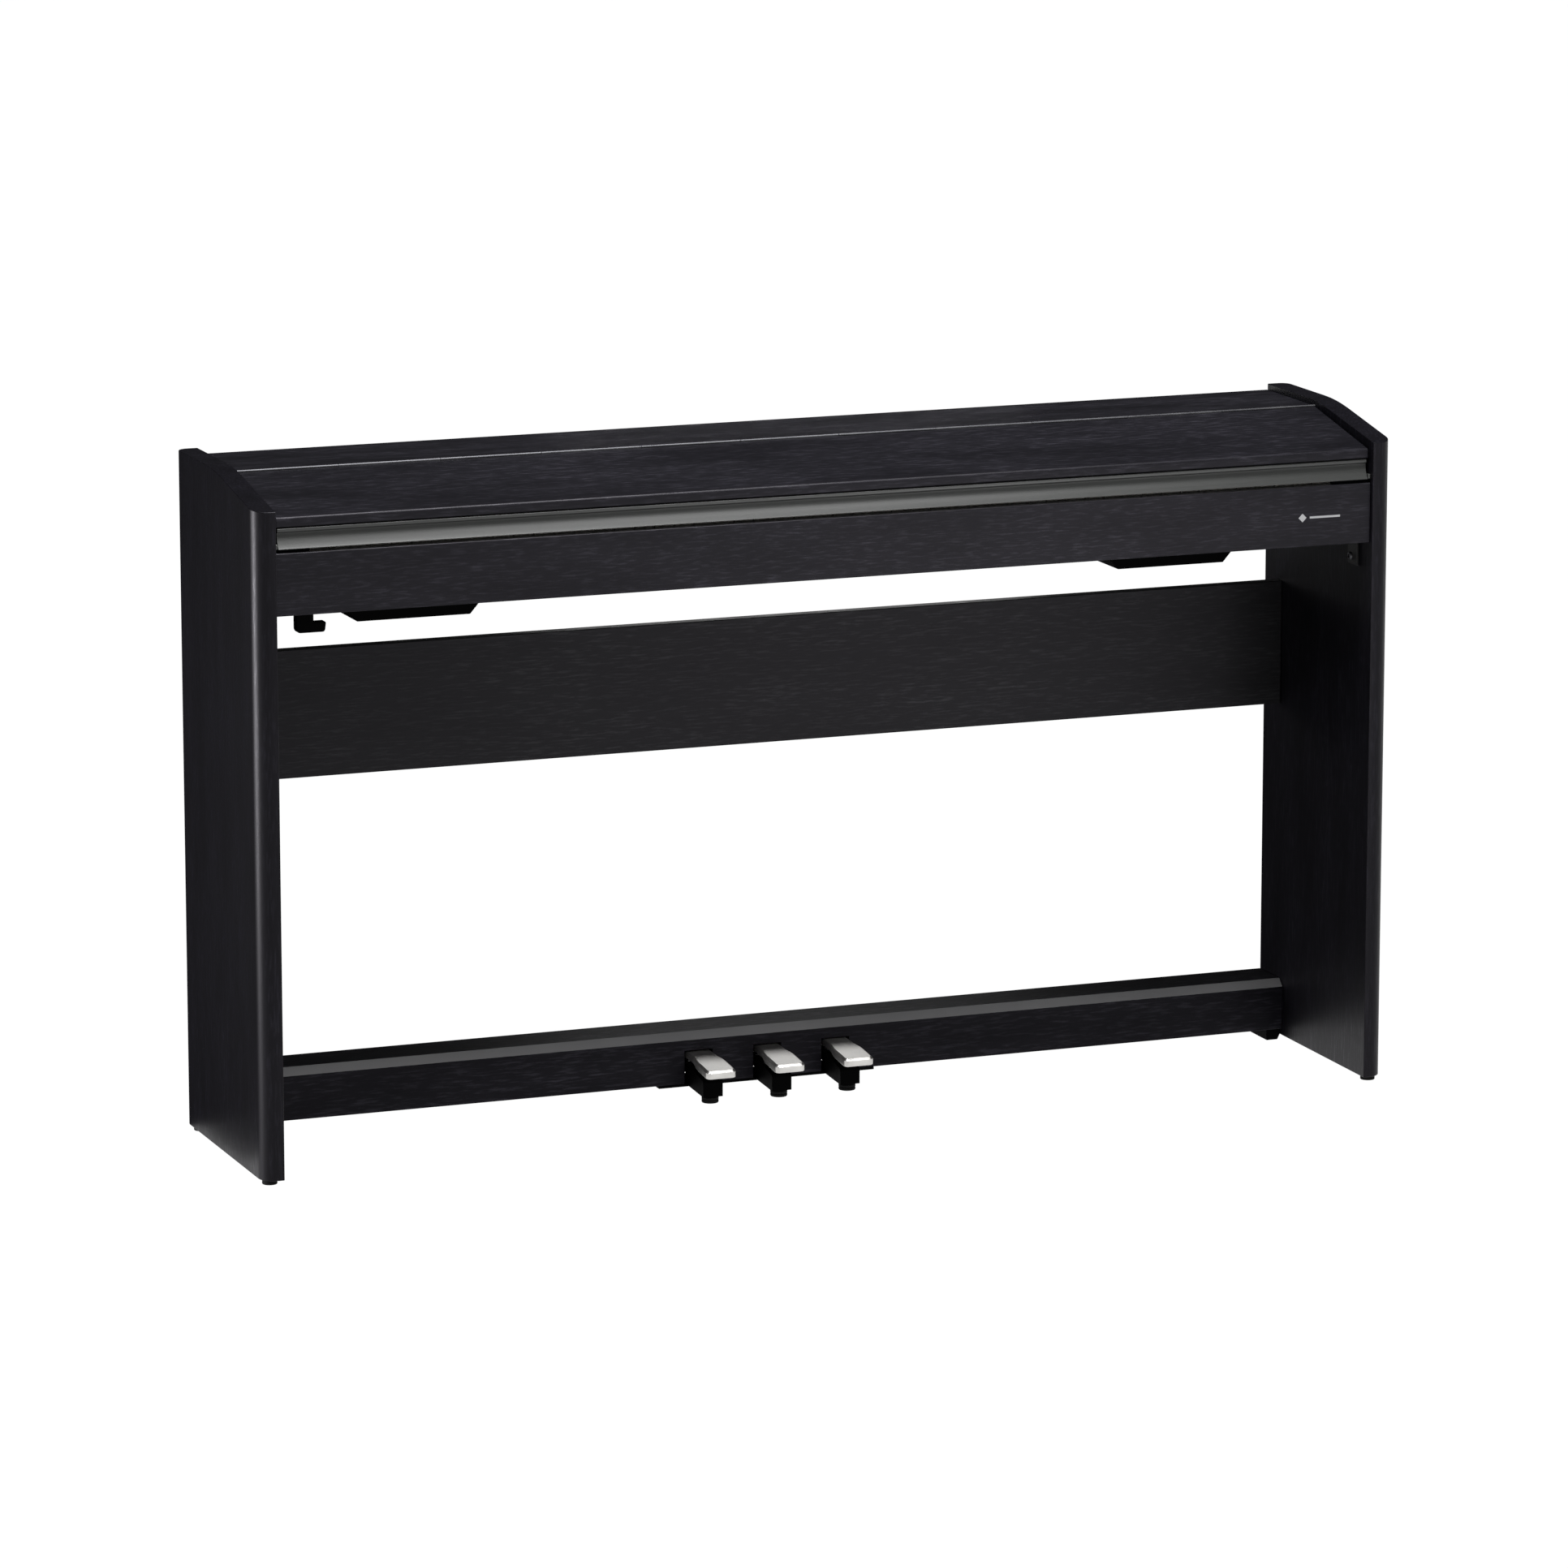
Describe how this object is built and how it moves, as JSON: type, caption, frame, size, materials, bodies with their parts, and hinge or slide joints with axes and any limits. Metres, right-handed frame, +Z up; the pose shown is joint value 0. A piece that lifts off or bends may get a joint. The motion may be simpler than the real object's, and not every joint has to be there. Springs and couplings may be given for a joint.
{
  "type": "digital piano",
  "caption": "Compact home digital piano on a panel stand, with a folding lid, weighted-style keyboard, three pedals and speakers under the keybed.",
  "frame": {"origin": "on the floor, under the middle of the piano's outer box", "axes": "+X to the player's right, +Y from the player to the back, +Z up"},
  "size_m": [1.359, 0.29, 0.778],
  "materials": {
    "wood_foil": "black wood-grain foil, satin, fine grain",
    "keybed_board": "dark faced chipboard",
    "black_plastic": "matte black moulded plastic",
    "grey_profile": "satin grey painted profile",
    "nickel": "polished nickel plate",
    "steel": "plain steel",
    "black_steel": "black powder coat",
    "white_key": "white key plastic, slightly textured",
    "black_key": "matte black key plastic",
    "rubber": "black rubber",
    "circuit_board": "green solder mask",
    "speaker_cone": "black paper cone and basket"
  },
  "bodies": {
    "cabinet": {"side_panel_left": "wood_foil", "side_panel_right": "wood_foil", "foot_front_left": "rubber", "foot_front_right": "rubber", "foot_rear_left": "rubber", "foot_rear_right": "rubber", "keybed": "keybed_board", "key_slip": "wood_foil", "top_board": "wood_foil", "back_panel": "wood_foil", "cheek_block_left": "wood_foil", "cheek_block_right": "wood_foil", "control_fascia": "black_plastic", "connector_panel": "black_plastic", "main_board": "circuit_board", "key_chassis": "black_plastic", "speaker_housing_left": "black_plastic", "speaker_housing_right": "black_plastic", "speaker_driver_left": "speaker_cone", "speaker_driver_right": "speaker_cone", "headphone_hook": "black_plastic", "keybed_bracket_left": "black_steel", "keybed_bracket_right": "black_steel", "rear_brace": "wood_foil", "pedal_rail": "wood_foil", "rail_end_block_left": "black_plastic", "rail_end_block_right": "black_plastic", "pedal_chassis": "black_plastic", "pedal_axle": "steel", "soft_pedal_spring": "steel", "sostenuto_pedal_spring": "steel", "damper_pedal_spring": "steel", "lid_hinge_rear_leaf": "steel", "lid_hinge_pin": "steel"},
    "lid": {"lid": "wood_foil", "lid_handle": "grey_profile", "lid_hinge_front_leaf": "steel"},
    "music_ledge": {"music_ledge": "grey_profile"},
    "soft_pedal": {"soft_pedal": "nickel"},
    "sostenuto_pedal": {"sostenuto_pedal": "nickel"},
    "damper_pedal": {"damper_pedal": "nickel"},
    "white_keys_bass": {"white_keys_bass": "white_key"},
    "black_keys_bass": {"black_keys_bass": "black_key"},
    "white_keys_treble": {"white_keys_treble": "white_key"},
    "black_keys_treble": {"black_keys_treble": "black_key"},
    "key_c": {"key_c": "white_key"},
    "key_c_sharp": {"key_c_sharp": "black_key"},
    "key_d": {"key_d": "white_key"},
    "key_d_sharp": {"key_d_sharp": "black_key"},
    "key_e": {"key_e": "white_key"},
    "key_f": {"key_f": "white_key"},
    "key_f_sharp": {"key_f_sharp": "black_key"},
    "key_g": {"key_g": "white_key"},
    "key_g_sharp": {"key_g_sharp": "black_key"},
    "key_a": {"key_a": "white_key"},
    "key_a_sharp": {"key_a_sharp": "black_key"},
    "key_b": {"key_b": "white_key"},
    "power_button": {"power_button": "black_plastic"},
    "tone_button": {"tone_button": "black_plastic"},
    "volume_knob": {"volume_knob": "black_plastic"}
  },
  "joints": [
    {"name": "lid_hinge", "type": "hinge", "parent": "cabinet", "child": "lid", "pos_m": [0, 0.0095, 0.7714], "axis": [-1, 0, 0], "range_deg": [0, 113]},
    {"name": "ledge_pivot", "type": "hinge", "parent": "lid", "child": "music_ledge", "pos_m": [0, 0, 0.75535], "axis": [1, 0, 0], "range_deg": [0, 90]},
    {"name": "soft_pedal_pivot", "type": "hinge", "parent": "cabinet", "child": "soft_pedal", "pos_m": [-0.0845, 0.122, 0.042], "axis": [1, 0, 0], "range_deg": [0, 5.8], "stiffness_Nm_per_rad": 9, "springref_deg": -9.74, "deforming": ["soft_pedal_spring"]},
    {"name": "sostenuto_pedal_pivot", "type": "hinge", "parent": "cabinet", "child": "sostenuto_pedal", "pos_m": [0, 0.122, 0.042], "axis": [1, 0, 0], "range_deg": [0, 5.8], "stiffness_Nm_per_rad": 9, "springref_deg": -9.74, "deforming": ["sostenuto_pedal_spring"]},
    {"name": "damper_pedal_pivot", "type": "hinge", "parent": "cabinet", "child": "damper_pedal", "pos_m": [0.0845, 0.122, 0.042], "axis": [1, 0, 0], "range_deg": [0, 5.8], "stiffness_Nm_per_rad": 9, "springref_deg": -9.74, "deforming": ["damper_pedal_spring"]},
    {"name": "white_keys_bass_pivot", "type": "hinge", "parent": "cabinet", "child": "white_keys_bass", "pos_m": [-0.34, 0.092, 0.703], "axis": [1, 0, 0], "range_deg": [0, 2.63], "stiffness_Nm_per_rad": 27.6, "springref_deg": -11.46},
    {"name": "black_keys_bass_pivot", "type": "hinge", "parent": "cabinet", "child": "black_keys_bass", "pos_m": [-0.337, 0.092, 0.703], "axis": [1, 0, 0], "range_deg": [0, 2.63], "stiffness_Nm_per_rad": 19.2, "springref_deg": -11.46},
    {"name": "white_keys_treble_pivot", "type": "hinge", "parent": "cabinet", "child": "white_keys_treble", "pos_m": [0.352, 0.092, 0.703], "axis": [1, 0, 0], "range_deg": [0, 2.63], "stiffness_Nm_per_rad": 26.4, "springref_deg": -11.46},
    {"name": "black_keys_treble_pivot", "type": "hinge", "parent": "cabinet", "child": "black_keys_treble", "pos_m": [0.341, 0.092, 0.703], "axis": [1, 0, 0], "range_deg": [0, 2.63], "stiffness_Nm_per_rad": 18, "springref_deg": -11.46},
    {"name": "key_c_pivot", "type": "hinge", "parent": "cabinet", "child": "key_c", "pos_m": [-0.05875, 0.092, 0.703], "axis": [1, 0, 0], "range_deg": [0, 2.63], "stiffness_Nm_per_rad": 1.2, "springref_deg": -11.46},
    {"name": "key_c_sharp_pivot", "type": "hinge", "parent": "cabinet", "child": "key_c_sharp", "pos_m": [-0.0498, 0.092, 0.703], "axis": [1, 0, 0], "range_deg": [0, 2.63], "stiffness_Nm_per_rad": 1.2, "springref_deg": -11.46},
    {"name": "key_d_pivot", "type": "hinge", "parent": "cabinet", "child": "key_d", "pos_m": [-0.03525, 0.092, 0.703], "axis": [1, 0, 0], "range_deg": [0, 2.63], "stiffness_Nm_per_rad": 1.2, "springref_deg": -11.46},
    {"name": "key_d_sharp_pivot", "type": "hinge", "parent": "cabinet", "child": "key_d_sharp", "pos_m": [-0.0207, 0.092, 0.703], "axis": [1, 0, 0], "range_deg": [0, 2.63], "stiffness_Nm_per_rad": 1.2, "springref_deg": -11.46},
    {"name": "key_e_pivot", "type": "hinge", "parent": "cabinet", "child": "key_e", "pos_m": [-0.01175, 0.092, 0.703], "axis": [1, 0, 0], "range_deg": [0, 2.63], "stiffness_Nm_per_rad": 1.2, "springref_deg": -11.46},
    {"name": "key_f_pivot", "type": "hinge", "parent": "cabinet", "child": "key_f", "pos_m": [0.01175, 0.092, 0.703], "axis": [1, 0, 0], "range_deg": [0, 2.63], "stiffness_Nm_per_rad": 1.2, "springref_deg": -11.46},
    {"name": "key_f_sharp_pivot", "type": "hinge", "parent": "cabinet", "child": "key_f_sharp", "pos_m": [0.0196, 0.092, 0.703], "axis": [1, 0, 0], "range_deg": [0, 2.63], "stiffness_Nm_per_rad": 1.2, "springref_deg": -11.46},
    {"name": "key_g_pivot", "type": "hinge", "parent": "cabinet", "child": "key_g", "pos_m": [0.03525, 0.092, 0.703], "axis": [1, 0, 0], "range_deg": [0, 2.63], "stiffness_Nm_per_rad": 1.2, "springref_deg": -11.46},
    {"name": "key_g_sharp_pivot", "type": "hinge", "parent": "cabinet", "child": "key_g_sharp", "pos_m": [0.047, 0.092, 0.703], "axis": [1, 0, 0], "range_deg": [0, 2.63], "stiffness_Nm_per_rad": 1.2, "springref_deg": -11.46},
    {"name": "key_a_pivot", "type": "hinge", "parent": "cabinet", "child": "key_a", "pos_m": [0.05875, 0.092, 0.703], "axis": [1, 0, 0], "range_deg": [0, 2.63], "stiffness_Nm_per_rad": 1.2, "springref_deg": -11.46},
    {"name": "key_a_sharp_pivot", "type": "hinge", "parent": "cabinet", "child": "key_a_sharp", "pos_m": [0.0744, 0.092, 0.703], "axis": [1, 0, 0], "range_deg": [0, 2.63], "stiffness_Nm_per_rad": 1.2, "springref_deg": -11.46},
    {"name": "key_b_pivot", "type": "hinge", "parent": "cabinet", "child": "key_b", "pos_m": [0.08225, 0.092, 0.703], "axis": [1, 0, 0], "range_deg": [0, 2.63], "stiffness_Nm_per_rad": 1.2, "springref_deg": -11.46},
    {"name": "power_button_press", "type": "slide", "parent": "cabinet", "child": "power_button", "axis": [0, 1, 0], "range_m": [0, 0.0012], "stiffness_N_per_m": 300, "springref_m": -0.003},
    {"name": "tone_button_press", "type": "slide", "parent": "cabinet", "child": "tone_button", "axis": [0, 1, 0], "range_m": [0, 0.0012], "stiffness_N_per_m": 300, "springref_m": -0.003},
    {"name": "volume_knob_turn", "type": "hinge", "parent": "cabinet", "child": "volume_knob", "pos_m": [-0.545, 0.02, 0.7476], "axis": [0, -1, 0], "range_deg": [-150, 150]}
  ]
}
